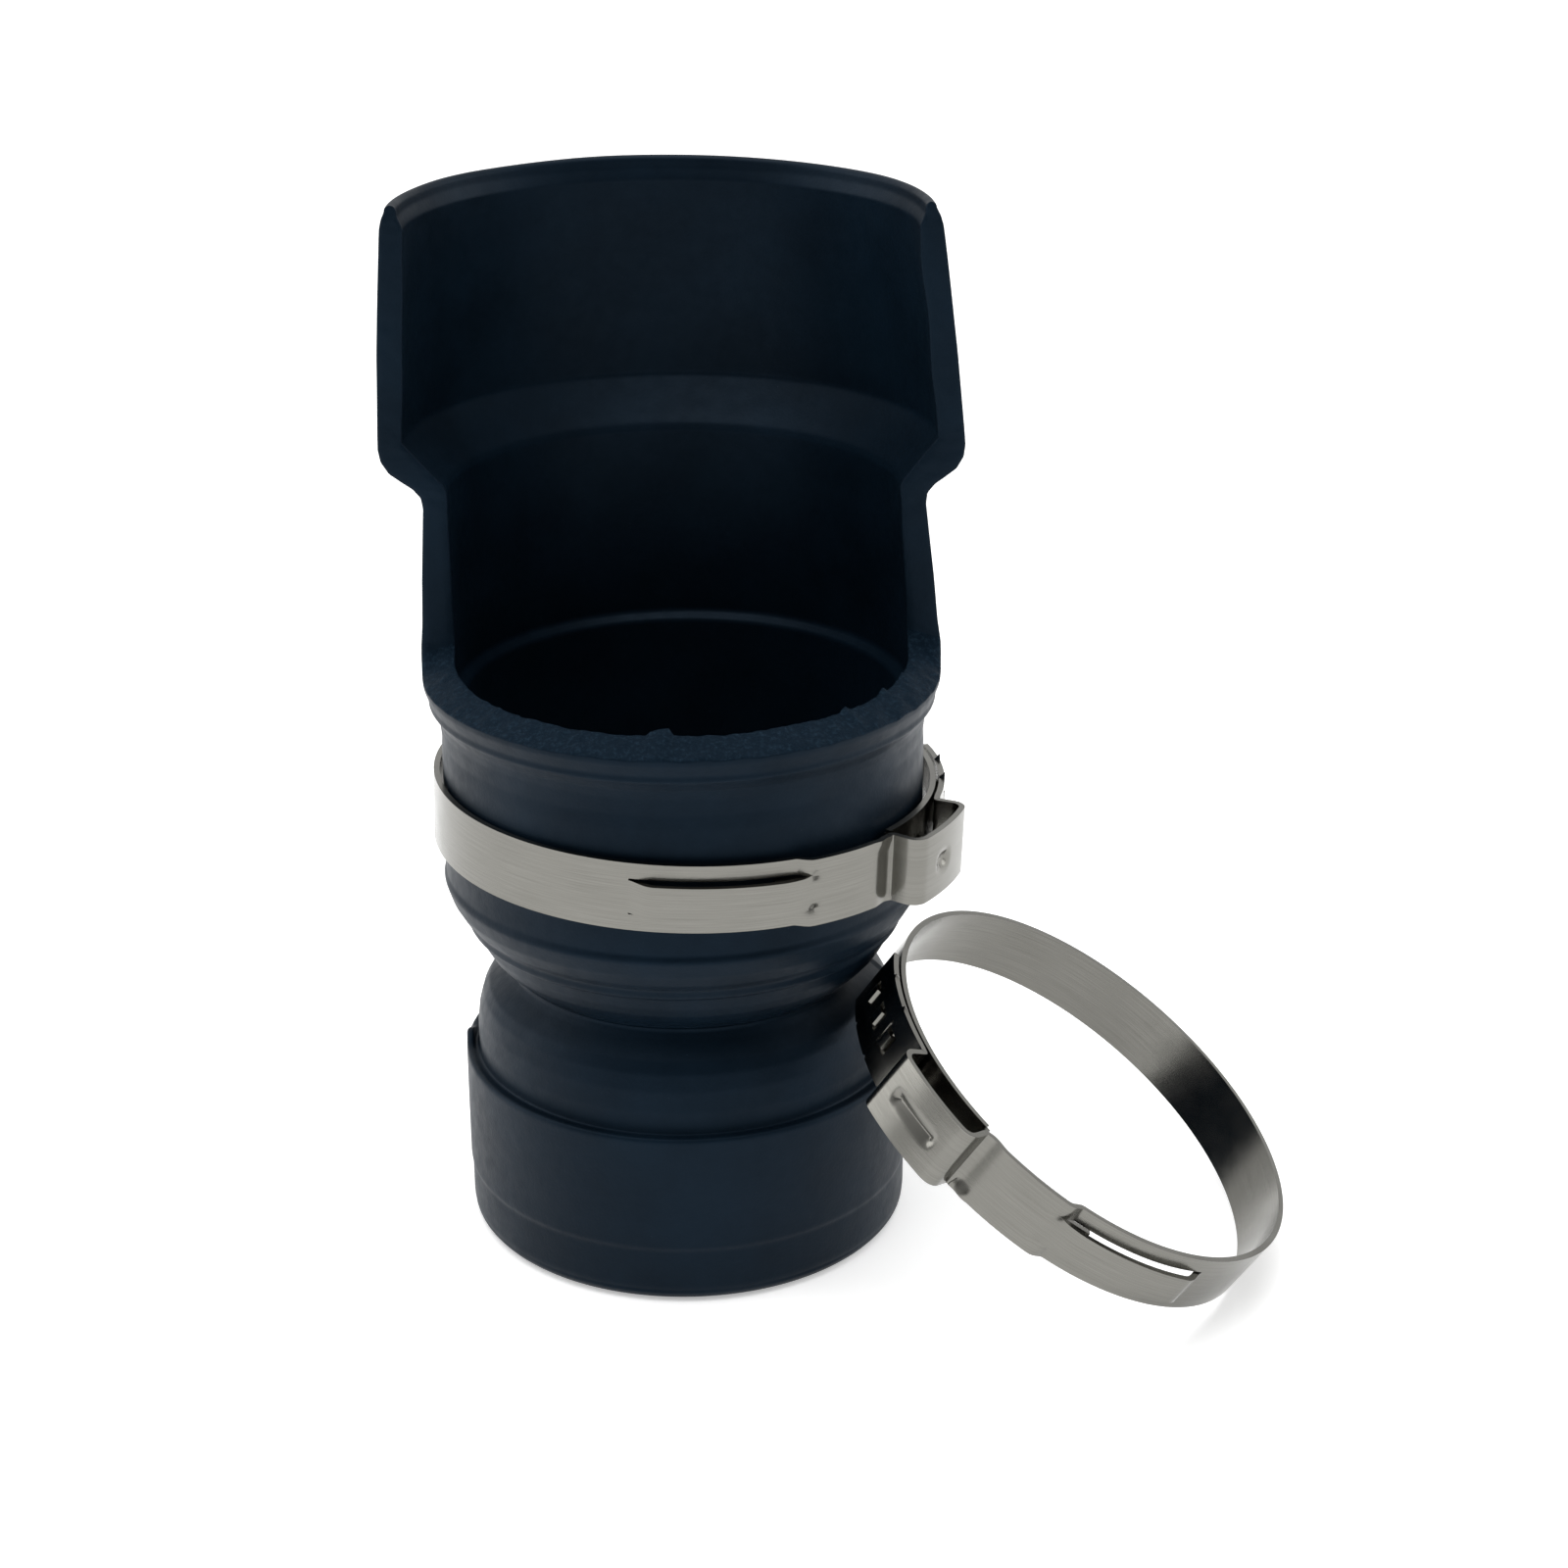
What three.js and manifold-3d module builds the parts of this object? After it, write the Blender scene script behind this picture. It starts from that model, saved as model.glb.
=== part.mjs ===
// Flexible rubber pipe coupling with an open hood, and its two stepless single-ear clamps.
// Units are millimetres and +Z is up. The sleeve is built on its own axis (x = y = 0) with its foot at z = 0.
// At the end the whole group is shifted so that the origin lies under the middle of its box.

import * as THREE from 'three';
import { mergeVertices } from 'three/addons/utils/BufferGeometryUtils.js';
import Module from 'manifold-3d';

const wasm = await Module();
wasm.setup();

// ---------------------------------------------------------------- driving dimensions

// Lower cuff, which goes over the smaller pipe.
const cuffRadius = 23.5;
const cuffWall = 3.1;
const cuffHeight = 18.9;
const cuffCorner = 1.8;
const cuffStep = 1.2;
const bulgeHeight = 5.6;

// Waist: the moulded groove where the sleeve flexes.
const grooveDepth = 3.8;
const grooveRise = 4.4;
const waistWall = 2.3;
const waistRise = 10.7;

// Barrel, which goes over the larger pipe and carries the fitted clamp.
const barrelRadius = 24.7;
const barrelWall = 2.7;
const bellHeight = 3.8;
const barrelHeight = 15.5;
const collarProud = 1.7;
const collarRise = 8.5;
const ledgeDrop = 4.4;
const ledgeDepth = 1.0;

// Hood: the half shell above the barrel, open to -Y.
const hoodWall = 2.6;
const neckProud = 0.4;
const neckHeight = 16.0;
const hoodStepRise = 4.3;
const hoodProud = 4.0;
const hoodTaper = 2.0;
const hoodRise = 28.8;
const hoodLeanDegrees = 1.8;
const frontCutDrop = 1.1;
const frontCutSlope = 0.6;

// Clamp strip, common to both clamps.
const stripThickness = 0.6;
const stripWidth = 7.0;
const layerGap = 0.3;
const earWidth = 9.2;
const earHeight = 3.0;
const footLength = 1.6;
const tunnelOffset = 16.0;
const tunnelLength = 16.6;
const tunnelWidth = 3.6;
const tunnelRise = 0.35;
const tongueClearance = 0.3;
const tongueReach = 2.6;
const outerEndOffset = 19.6;
const hookOffsets = [9.6, 13.0, 16.4];
const hookLength = 1.4;
const hookWidth = 1.8;
const windowClearance = 0.3;

// How much larger each open clamp is than the rubber it goes round, on the radius.
const fittedClampPlay = 0.5;
const looseClampPlay = 0.2;

// Where the clamps sit. The fitted one is a little off the barrel's middle and not quite level. The loose
// one stands on its rim and leans towards the sleeve: its axis is tipped from +Z by looseLean, towards
// looseLeanHeading, and its middle lies in the direction looseHeading from the sleeve's axis. The insets
// say how far inside the shoulder's and the bell's radius its lower edge comes.
const fittedClampDrop = 0.45;
const fittedClampShift = 0.1;
const fittedClampTilt = 2.0;
const fittedEarAngle = -28.5;
const looseLean = 34.33;
const looseLeanHeading = -14.64;
const looseHeading = -17.43;
const looseShoulderInset = 2.25;
const looseBellInset = 3.25;
const looseEarAngle = 223.5;

const partGap = 0.3;
const latheSteps = 48;
const degree = Math.PI / 180;

// ---------------------------------------------------------------- materials

function rubber() {
  return new THREE.MeshStandardMaterial({ color: 0x1b2730, roughness: 0.62, metalness: 0.0 });
}

function stainless() {
  return new THREE.MeshStandardMaterial({ color: 0xa9a8a3, roughness: 0.34, metalness: 1.0 });
}

// ---------------------------------------------------------------- solids

function toSolid(geometry) {
  const bare = geometry.clone();
  bare.deleteAttribute('normal');
  bare.deleteAttribute('uv');
  const merged = mergeVertices(bare, 1e-4);
  const mesh = new wasm.Mesh({
    numProp: 3,
    vertProperties: new Float32Array(merged.attributes.position.array),
    triVerts: new Uint32Array(merged.index.array),
  });
  return new wasm.Manifold(mesh);
}

function toGeometry(solid) {
  const mesh = solid.getMesh();
  const geometry = new THREE.BufferGeometry();
  geometry.setAttribute('position', new THREE.BufferAttribute(new Float32Array(mesh.vertProperties), 3));
  geometry.setIndex(new THREE.BufferAttribute(new Uint32Array(mesh.triVerts), 1));
  geometry.computeVertexNormals();
  return geometry;
}

// A ring turned about Z from a closed profile of [radius, height] points, listed anticlockwise.
function turned(profile) {
  const points = profile.map(([radius, height]) => new THREE.Vector2(radius, height));
  points.push(points[0].clone());
  const geometry = new THREE.LatheGeometry(points, latheSteps);
  geometry.rotateX(Math.PI / 2);
  return geometry;
}

function box(low, high) {
  const size = [high[0] - low[0], high[1] - low[1], high[2] - low[2]];
  const geometry = new THREE.BoxGeometry(...size);
  geometry.translate((low[0] + high[0]) / 2, (low[1] + high[1]) / 2, (low[2] + high[2]) / 2);
  return geometry;
}

// Points on a round corner between two angles, in [radius, height].
function corner(centreRadius, centreHeight, size, startDegrees, endDegrees, steps) {
  const points = [];
  for (let i = 0; i <= steps; i += 1) {
    const angle = (startDegrees + ((endDegrees - startDegrees) * i) / steps) * degree;
    points.push([centreRadius + size * Math.cos(angle), centreHeight + size * Math.sin(angle)]);
  }
  return points;
}

function namedMesh(name, geometry, material) {
  const mesh = new THREE.Mesh(geometry, material);
  mesh.name = name;
  return mesh;
}

// ---------------------------------------------------------------- rubber sleeve

const cuffBoreRadius = cuffRadius - cuffWall;
const bulgeRadius = cuffRadius - cuffStep;
const bulgeTop = cuffHeight + bulgeHeight;
const bulgeTopRadius = bulgeRadius - 0.6;
const grooveRadius = bulgeRadius - grooveDepth;
const grooveHeight = bulgeTop + grooveRise;
const waistBottom = bulgeTop + partGap;
const waistTop = bulgeTop + waistRise;
const bellBottom = waistTop + partGap;
const bellRadius = barrelRadius - 1.4;
const barrelBoreRadius = barrelRadius - barrelWall;
const barrelBottom = waistTop + bellHeight;
const barrelTop = barrelBottom + barrelHeight;
const collarRadius = barrelRadius + collarProud;
const collarHeight = barrelTop + collarRise;
const ledgeHeight = collarHeight - ledgeDrop;
const frontCutHeight = collarHeight - frontCutDrop;
const hoodNeckRadius = barrelRadius + neckProud;
const hoodStepHeight = collarHeight + neckHeight;
const hoodBaseRadius = hoodNeckRadius + hoodProud;
const hoodRimRadius = hoodBaseRadius - hoodTaper;
const hoodHeight = hoodStepHeight + hoodRise;

function lowerCuff() {
  const profile = [
    [cuffBoreRadius, 0],
    ...corner(cuffRadius - cuffCorner, cuffCorner, cuffCorner, -90, 0, 4),
    [cuffRadius, cuffHeight - 0.4],
    [cuffRadius - 0.4, cuffHeight],
    [bulgeRadius, cuffHeight],
    [bulgeRadius, bulgeTop - 2.5],
    [bulgeTopRadius, bulgeTop],
    [bulgeTopRadius - waistWall, bulgeTop],
    [cuffBoreRadius, cuffHeight],
  ];
  return turned(profile);
}

// The groove seen in section: a rounded shoulder below, a narrow floor, and a rolled flank above that
// ends under a small overhanging lip.
function waistFold() {
  const innerFloor = grooveRadius - waistWall;
  const lipHeight = waistTop - 1.1;
  const profile = [
    [bulgeTopRadius - waistWall, waistBottom],
    [bulgeTopRadius, waistBottom],
    [bulgeTopRadius - 0.2, waistBottom + 0.4],
    [bulgeTopRadius - 0.85, waistBottom + 1.5],
    [bulgeTopRadius - 1.7, waistBottom + 2.3],
    [grooveRadius + 0.6, grooveHeight - 1.0],
    [grooveRadius, grooveHeight - 0.3],
    [grooveRadius, grooveHeight + 0.2],
    [grooveRadius + 0.7, grooveHeight + 0.8],
    [grooveRadius + 1.6, grooveHeight + 1.5],
    [bellRadius - 1.8, lipHeight - 1.8],
    [bellRadius - 1.3, lipHeight - 0.3],
    [bellRadius - 0.5, lipHeight],
    [bellRadius - 0.4, waistTop],
    [bellRadius - waistWall, waistTop],
    [innerFloor, grooveHeight + 0.6],
    [innerFloor, grooveHeight - 0.6],
  ];
  return turned(profile);
}

function hoodInnerRadius(height) {
  const base = hoodStepHeight + hoodStepRise;
  const share = (height - base) / (hoodHeight - base);
  return hoodBaseRadius + (hoodRimRadius - hoodBaseRadius) * share - hoodWall;
}

// The whole shell before its front is cut away.
function fullBell() {
  const stepTop = hoodStepHeight + hoodStepRise;
  const rimRound = 1.5;
  const outside = [
    [bellRadius, bellBottom],
    [barrelRadius - 0.1, barrelBottom - 1.5],
    [barrelRadius + 0.3, barrelBottom],
    [barrelRadius, barrelBottom + 2],
    [barrelRadius, barrelTop - 0.5],
    [barrelRadius + 0.3, barrelTop + 1.8],
    [collarRadius - 0.5, barrelTop + 3.8],
    [collarRadius, collarHeight - 2.5],
    [collarRadius, collarHeight],
    [collarRadius - 0.3, collarHeight + 2.5],
    [hoodNeckRadius, hoodStepHeight - 1.5],
    [hoodNeckRadius + 0.4, hoodStepHeight],
    [hoodNeckRadius + 2.0, hoodStepHeight + 1.3],
    [hoodBaseRadius - 0.9, stepTop - 1.7],
    [hoodBaseRadius, stepTop],
    [hoodRimRadius, hoodHeight - 2.8],
    ...corner(hoodRimRadius - rimRound - 0.1, hoodHeight - rimRound, rimRound, 25, 90, 3),
  ];
  const neckBore = hoodNeckRadius - hoodWall + 0.4;
  const inside = [
    [hoodInnerRadius(hoodHeight) + 0.5, hoodHeight],
    [hoodInnerRadius(hoodHeight), hoodHeight - 1.5],
    [hoodInnerRadius(stepTop + 1.2), stepTop + 1.2],
    [neckBore + 1.6, stepTop - 0.4],
    [neckBore, hoodStepHeight + 0.6],
    [neckBore, ledgeHeight + 0.5],
    [barrelBoreRadius + ledgeDepth - 0.3, ledgeHeight],
    [barrelBoreRadius, ledgeHeight],
    [barrelBoreRadius, barrelBottom],
    [bellRadius - waistWall, bellBottom],
  ];
  return turned([...outside, ...inside]);
}

// What is taken away in front of the axis: everything above a cone that falls outwards.
function frontCutter() {
  const reach = hoodBaseRadius + 10;
  const start = barrelBoreRadius + ledgeDepth;
  const cone = turned([
    [0, frontCutHeight],
    [start, frontCutHeight],
    [reach, frontCutHeight - (reach - start) * frontCutSlope],
    [reach, hoodHeight + 5],
    [0, hoodHeight + 5],
  ]);
  const front = box([-reach - 1, -reach - 1, 0], [reach + 1, 0, hoodHeight + 10]);
  return toSolid(cone).intersect(toSolid(front));
}

// The hood leans a little to -X above the front cut.
function leanHood(geometry) {
  const position = geometry.attributes.position;
  const slope = Math.tan(hoodLeanDegrees * degree);
  for (let i = 0; i < position.count; i += 1) {
    const above = Math.max(0, position.getZ(i) - collarHeight);
    position.setX(i, position.getX(i) - above * slope);
  }
  geometry.computeVertexNormals();
  return geometry;
}

function upperSleeve() {
  const shell = toSolid(fullBell()).subtract(frontCutter());
  return leanHood(toGeometry(shell));
}

// ---------------------------------------------------------------- clamp strip

// Each clamp is one strip, rolled past a full turn so that its ends overlap. Everything on it is placed
// by its arc length from the middle of the ear, measured at the bore. A route is a list of
// [arc length, radius of the strip's inner face].
function layer(fromArc, toArc, radius, step) {
  const count = Math.max(1, Math.ceil((toArc - fromArc) / step));
  const points = [];
  for (let i = 0; i <= count; i += 1) {
    points.push([fromArc + ((toArc - fromArc) * i) / count, radius]);
  }
  return points;
}

// The strip's edge outline, thickened outwards from the route and extruded across the width.
function stripSolid(route, boreRadius, width) {
  const inner = route.map(([arc, radius]) => {
    const angle = arc / boreRadius;
    return new THREE.Vector2(radius * Math.cos(angle), radius * Math.sin(angle));
  });
  const outer = inner.map((point, i) => {
    const before = inner[Math.max(0, i - 1)];
    const after = inner[Math.min(inner.length - 1, i + 1)];
    const along = after.clone().sub(before).normalize();
    return new THREE.Vector2(point.x + along.y * stripThickness, point.y - along.x * stripThickness);
  });
  const shape = new THREE.Shape([...inner, ...outer.reverse()]);
  const geometry = new THREE.ExtrudeGeometry(shape, { depth: width, bevelEnabled: false });
  geometry.translate(0, 0, -width / 2);
  return toSolid(geometry);
}

// A block standing across the strip at one arc length.
function radialBlock(arc, boreRadius, length, width, fromRadius, toRadius) {
  const geometry = box([fromRadius, -length / 2, -width / 2], [toRadius, length / 2, width / 2]);
  geometry.rotateZ(arc / boreRadius);
  return toSolid(geometry);
}

// The two levels of the overlapping strip and the marks along it, for one bore.
function stripLayout(bore) {
  const boreRadius = bore / 2;
  const upper = boreRadius + stripThickness + layerGap;
  return {
    boreRadius,
    lower: boreRadius,
    upper,
    crown: upper + earHeight,
    turn: Math.PI * bore,
    legFoot: earWidth / 2 + 0.6,
    tunnelEnd: tunnelOffset + tunnelLength,
  };
}

// From the outer end over the hooks, up and over the ear, down to the rails of the tunnel, round the
// back, under the outer end and under the ear to the inner end.
function stripRoute(at) {
  const half = earWidth / 2;
  const fine = 1.7;
  const coarse = 2.6;
  const footEnd = at.legFoot + footLength;
  return [
    ...layer(-outerEndOffset, -at.legFoot, at.upper, fine),
    [-half, at.upper + 0.8],
    [-half - 0.1, at.crown - 0.6],
    ...layer(-half + 0.6, half - 0.6, at.crown, fine),
    [half + 0.1, at.crown - 0.6],
    [half, at.upper + 0.8],
    [at.legFoot, at.upper],
    ...layer(footEnd, tunnelOffset - 2.4, at.upper, coarse),
    ...layer(tunnelOffset, at.turn + at.legFoot - tongueClearance, at.lower, coarse),
  ];
}

// The bridge over the tunnel stays at the upper level while the rails beside it step down.
function bridgeSolid(at) {
  const start = tunnelOffset - 2.4;
  const route = [
    [start - 0.6, at.upper],
    [start, at.upper],
    ...layer(tunnelOffset, at.tunnelEnd - 2.0, at.upper + tunnelRise, 2.6),
    [at.tunnelEnd, at.lower],
    [at.tunnelEnd + 0.6, at.lower],
  ];
  return stripSolid(route, at.boreRadius, tunnelWidth);
}

function tunnelSlot(at) {
  const low = at.lower - stripThickness;
  const route = layer(tunnelOffset - 2.4, at.tunnelEnd, low, 2.6);
  let slot = stripSolid(route, at.boreRadius, tunnelWidth);
  for (let level = 1; level < 5; level += 1) {
    const raised = route.map(([arc, radius]) => [arc, radius + level * stripThickness * 0.9]);
    slot = slot.add(stripSolid(raised, at.boreRadius, tunnelWidth));
  }
  return slot;
}

// The narrowed inner end lies under the near band and reaches into the tunnel between its rails.
function tongueSolid(at) {
  const width = tunnelWidth - 2 * tongueClearance;
  const route = layer(at.legFoot - 1.4, tunnelOffset + tongueReach, at.lower, 2.6);
  return stripSolid(route, at.boreRadius, width);
}

// Three hooks stand up from the lower layer through windows in the upper one.
function addHooks(strip, at) {
  let result = strip;
  for (const offset of hookOffsets) {
    const windowLength = hookLength + 2 * windowClearance;
    const windowWidth = hookWidth + 2 * windowClearance;
    const top = at.upper + stripThickness + 0.4;
    const cut = [windowLength, windowWidth, at.upper - layerGap / 2, top + 1];
    const hook = [hookLength, hookWidth, at.lower + stripThickness / 2, top];
    result = result.subtract(radialBlock(-offset, at.boreRadius, ...cut));
    result = result.add(radialBlock(-offset, at.boreRadius, ...hook));
  }
  return result;
}

function clampStrip(bore) {
  const at = stripLayout(bore);
  const band = stripSolid(stripRoute(at), at.boreRadius, stripWidth);
  const tunnelled = band.subtract(tunnelSlot(at)).add(bridgeSolid(at)).add(tongueSolid(at));
  return toGeometry(addHooks(tunnelled, at));
}

// ---------------------------------------------------------------- placing

const fittedClampBore = 2 * (barrelRadius + fittedClampPlay);
const looseClampBore = 2 * (cuffRadius + looseClampPlay);

// The fitted clamp hangs a little low on its +X side, turned over so that its tunnel faces -Y.
function placeFittedClamp(mesh) {
  mesh.rotation.set(Math.PI, 0, 0);
  const turnedClamp = new THREE.Group();
  turnedClamp.rotation.z = fittedEarAngle * degree;
  turnedClamp.add(mesh);
  const tilted = new THREE.Group();
  tilted.rotation.y = fittedClampTilt * degree;
  tilted.position.set(fittedClampShift, 0, barrelBottom + barrelHeight / 2 - fittedClampDrop);
  tilted.add(turnedClamp);
  return tilted;
}

// The loose clamp stands on its rim on the ground and leans on the sleeve's waist.
function placeLooseClamp(mesh) {
  const lean = looseLean * degree;
  const axis = new THREE.Vector3(0, 0, 1).applyAxisAngle(new THREE.Vector3(0, 1, 0), lean);
  axis.applyAxisAngle(new THREE.Vector3(0, 0, 1), looseLeanHeading * degree);
  const outside = looseClampBore / 2 + stripThickness;
  const rise = outside * Math.sin(lean) + (stripWidth / 2) * Math.cos(lean);
  const spread = outside * Math.cos(lean) + (stripWidth / 2) * Math.sin(lean);
  const shoulder = Math.max(bulgeRadius - looseShoulderInset, bellRadius - looseBellInset);
  const away = shoulder + spread;
  const heading = looseHeading * degree;
  const centre = new THREE.Vector3(away * Math.cos(heading), away * Math.sin(heading), rise);
  const across = new THREE.Vector3(0, 1, 0).cross(axis).normalize();
  const along = axis.clone().cross(across);
  mesh.rotation.z = looseEarAngle * degree;
  const leaning = new THREE.Group();
  leaning.setRotationFromMatrix(new THREE.Matrix4().makeBasis(across, along, axis));
  leaning.position.copy(centre);
  leaning.add(mesh);
  return leaning;
}

const coupling = new THREE.Group();
coupling.add(namedMesh('lower_cuff', lowerCuff(), rubber()));
coupling.add(namedMesh('waist_fold', waistFold(), rubber()));
coupling.add(namedMesh('upper_sleeve', upperSleeve(), rubber()));
coupling.add(placeFittedClamp(namedMesh('fitted_clamp', clampStrip(fittedClampBore), stainless())));
coupling.add(placeLooseClamp(namedMesh('loose_clamp', clampStrip(looseClampBore), stainless())));

// The origin is under the middle of the whole object's box, on the surface it stands on.
coupling.updateMatrixWorld(true);
const bounds = new THREE.Box3().setFromObject(coupling, true);
coupling.position.set(
  -(bounds.min.x + bounds.max.x) / 2,
  -(bounds.min.y + bounds.max.y) / 2,
  -bounds.min.z,
);
coupling.updateMatrixWorld(true);

export default coupling;
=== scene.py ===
import bpy
import math
from mathutils import Matrix, Vector, noise


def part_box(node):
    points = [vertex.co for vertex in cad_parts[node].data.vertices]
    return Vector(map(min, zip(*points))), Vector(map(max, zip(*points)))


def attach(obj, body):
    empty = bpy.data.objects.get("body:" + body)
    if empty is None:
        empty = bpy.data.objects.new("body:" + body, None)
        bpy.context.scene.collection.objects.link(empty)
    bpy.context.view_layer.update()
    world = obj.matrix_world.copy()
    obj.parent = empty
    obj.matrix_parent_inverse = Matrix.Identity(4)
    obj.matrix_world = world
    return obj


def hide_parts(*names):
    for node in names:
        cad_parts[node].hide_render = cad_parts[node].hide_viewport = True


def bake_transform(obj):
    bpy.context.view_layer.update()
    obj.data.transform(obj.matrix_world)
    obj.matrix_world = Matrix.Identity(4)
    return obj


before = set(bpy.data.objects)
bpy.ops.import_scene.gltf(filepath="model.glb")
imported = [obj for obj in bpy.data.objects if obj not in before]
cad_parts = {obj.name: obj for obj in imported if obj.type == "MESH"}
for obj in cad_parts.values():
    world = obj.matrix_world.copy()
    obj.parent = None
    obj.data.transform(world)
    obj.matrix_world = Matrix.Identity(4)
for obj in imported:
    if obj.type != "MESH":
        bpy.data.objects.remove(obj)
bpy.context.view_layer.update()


# ------------------------------------------------------------------ sleeve foot
# The lower cuff, the bulge above it and the lower half of the moulded groove, in one piece with
# the rest of the sleeve. Black EPDM rubber, pressed in a two-part mould: a step line round the
# cuff, small flash lips where the mould halves met, and a dent where the loose clamp leans.

cuff_low, cuff_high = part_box("lower_cuff")
axis_x = (cuff_low.x + cuff_high.x) * 500.0
axis_y = (cuff_low.y + cuff_high.y) * 500.0

RUBBER_BASE = "#050f18"
RUBBER_WORN = "#0a1722"
FOOT_COLUMNS = 300
GROOVE_HEIGHT = 28.9
GROOVE_RADIUS = 18.5
CUFF_RADIUS = 23.5
CUFF_BORE = 20.4
LIP_HEIGHT = 1.0
MOULD_LINE = 0.05
DENT_HEADING = 343.5
DENT_DEPTH = 0.55
DENT_SPREAD = 17.0


def linear(code):
    """An sRGB hex colour as linear red, green, blue and alpha."""
    parts = [int(code[i:i + 2], 16) / 255 for i in (1, 3, 5)]
    return tuple(p / 12.92 if p <= 0.04045 else ((p + 0.055) / 1.055) ** 2.4 for p in parts) + (1.0,)


def add_node(tree, kind, inputs=None, **settings):
    """One shader node with its settings and its inputs, which are values or other nodes' outputs."""
    node = tree.nodes.new(kind)
    for name, value in settings.items():
        setattr(node, name, value)
    for name, value in (inputs or {}).items():
        if isinstance(value, bpy.types.NodeSocket):
            tree.links.new(value, node.inputs[name])
        else:
            node.inputs[name].default_value = value
    return node


def noise_node(tree, place, scale, detail, **more):
    """Noise from 0 to 1. The scale is in lumps per metre."""
    inputs = {"Vector": place, "Scale": scale, "Detail": detail, **more}
    return add_node(tree, "ShaderNodeTexNoise", inputs).outputs["Fac"]


def stretch(tree, value, low, high, to_low=0.0, to_high=1.0):
    """A value's span from low to high, stretched to another span and held at its ends."""
    inputs = {"Value": value, "From Min": low, "From Max": high, "To Min": to_low, "To Max": to_high}
    return add_node(tree, "ShaderNodeMapRange", inputs).outputs["Result"]


def mix(tree, share, first, second):
    """Two colours blended by a share from 0 to 1."""
    inputs = {"Factor": share, "A": first, "B": second}
    return add_node(tree, "ShaderNodeMix", inputs, data_type="RGBA").outputs["Result"]


def bumps(tree, *layers):
    """A surface normal from layers of height, strength and depth in metres, each over the last."""
    normal = None
    for height, strength, depth in layers:
        inputs = {"Height": height, "Strength": strength, "Distance": depth}
        if normal is not None:
            inputs["Normal"] = normal
        normal = add_node(tree, "ShaderNodeBump", inputs).outputs["Normal"]
    return normal


def finish_surface(tree, **inputs):
    """Ends a material in one principled surface; an underscore in a name stands for a space."""
    named = {name.replace("_", " "): value for name, value in inputs.items()}
    surface = add_node(tree, "ShaderNodeBsdfPrincipled", named)
    add_node(tree, "ShaderNodeOutputMaterial", {"Surface": surface.outputs["BSDF"]})


def new_material(name):
    """An empty node material and its tree."""
    material = bpy.data.materials.new(name)
    material.use_nodes = True
    material.node_tree.nodes.clear()
    return material, material.node_tree


def add_mesh(name, points, faces, material):
    """A smooth shaded object from points in millimetres on the sleeve's own axis."""
    mesh = bpy.data.meshes.new(name)
    placed = [((x + axis_x) / 1000, (y + axis_y) / 1000, z / 1000) for x, y, z in points]
    mesh.from_pydata(placed, [], faces)
    mesh.validate()
    mesh.shade_smooth()
    mesh.materials.append(material)
    obj = bpy.data.objects.new(name, mesh)
    bpy.context.scene.collection.objects.link(obj)
    return obj


def resample(line, spacing):
    """The same open line with its points about one spacing apart."""
    points = [line[0]]
    for (a, b), (c, d) in zip(line, line[1:]):
        count = max(1, round(math.hypot(c - a, d - b) / spacing))
        points += [(a + (c - a) * i / count, b + (d - b) * i / count) for i in range(1, count + 1)]
    return points


def soften(line, passes):
    """Rounds a line's corners; its two ends stay."""
    for _ in range(passes):
        inner = [
            ((a[0] + 2 * b[0] + c[0]) / 4, (a[1] + 2 * b[1] + c[1]) / 4)
            for a, b, c in zip(line, line[1:], line[2:])
        ]
        line = [line[0], *inner, line[-1]]
    return line


def ripple(x, y, z, size):
    """Smooth noise from 0 to 1 whose lumps are about one size across, in millimetres."""
    return 0.5 + 0.5 * max(-1.0, min(1.0, noise.noise(Vector((x / size, y / size, z / size)))))


def ease(value, start, end):
    """0 before start, 1 after end and a smooth rise between."""
    share = max(0.0, min(1.0, (value - start) / (end - start)))
    return share * share * (3 - 2 * share)


def rubber_material():
    """Matte moulded rubber: nearly black with a blue cast, fine grain and a faint dusty bloom."""
    material, tree = new_material("black EPDM rubber")
    place = add_node(tree, "ShaderNodeTexCoord").outputs["Object"]
    cloud = noise_node(tree, place, 90.0, 4.0, Roughness=0.55)
    mottle = noise_node(tree, place, 700.0, 3.0)
    grain = noise_node(tree, place, 3200.0, 2.0)
    blotch = stretch(tree, cloud, 0.35, 0.7)
    tone = mix(tree, blotch, linear(RUBBER_BASE), linear(RUBBER_WORN))
    dust = stretch(tree, grain, 0.76, 0.82, 0.0, 0.25)
    finish_surface(
        tree,
        Base_Color=mix(tree, dust, tone, linear("#46505a")),
        Roughness=stretch(tree, mottle, 0.3, 0.7, 0.42, 0.50),
        IOR=1.5,
        Specular_IOR_Level=0.17,
        Specular_Tint=linear("#a2c2e2"),
        Normal=bumps(tree, (mottle, 0.12, 0.0002), (grain, 0.25, 0.00006)),
    )
    return material


rubber = rubber_material()

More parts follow.
